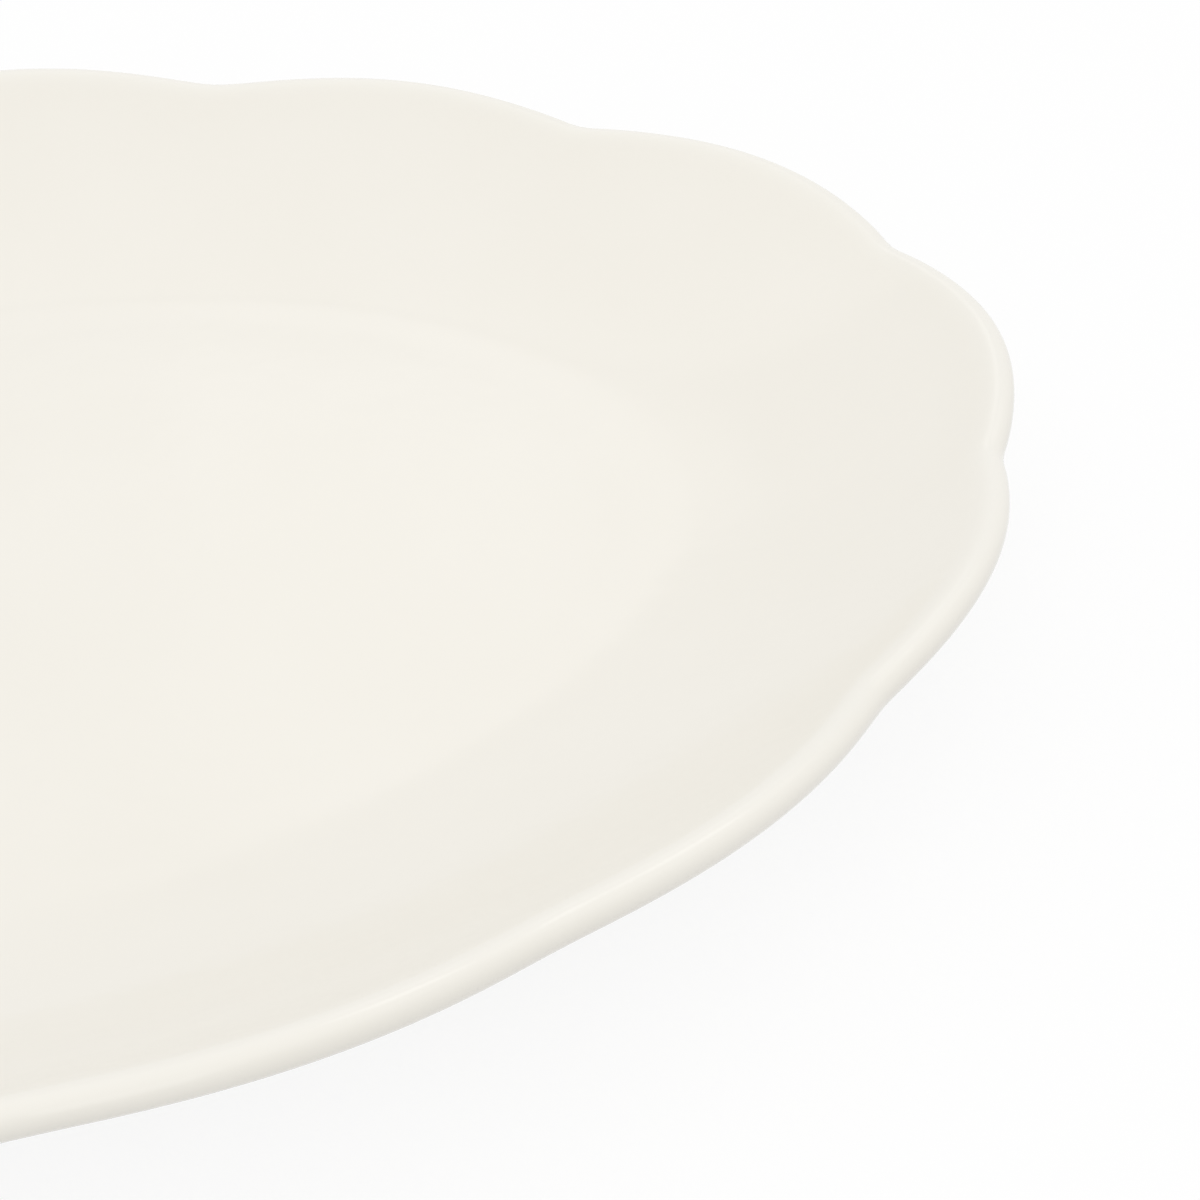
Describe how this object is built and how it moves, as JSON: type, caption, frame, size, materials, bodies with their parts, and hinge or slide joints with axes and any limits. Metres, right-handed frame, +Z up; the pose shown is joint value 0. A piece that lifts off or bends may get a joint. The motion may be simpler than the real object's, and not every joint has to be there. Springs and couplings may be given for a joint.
{
  "type": "oval coupe plate",
  "caption": "Oval coupe plate in cream glazed stoneware, with a flat well, a wall curving up to a rounded scalloped lip, and a bare-edged foot ring.",
  "frame": {"origin": "on the table, under the middle of the plate", "axes": "+X along the oval, +Y across it, +Z up out of the well"},
  "size_m": [0.3044, 0.2288, 0.0263],
  "materials": {
    "cream_glaze": "smooth gloss glaze",
    "bare_clay": "unglazed, fine matt"
  },
  "bodies": {
    "root": {"clay_body": "bare_clay", "foot_ring": "bare_clay", "outer_glaze": "cream_glaze", "base_glaze": "cream_glaze"}
  },
  "joints": []
}
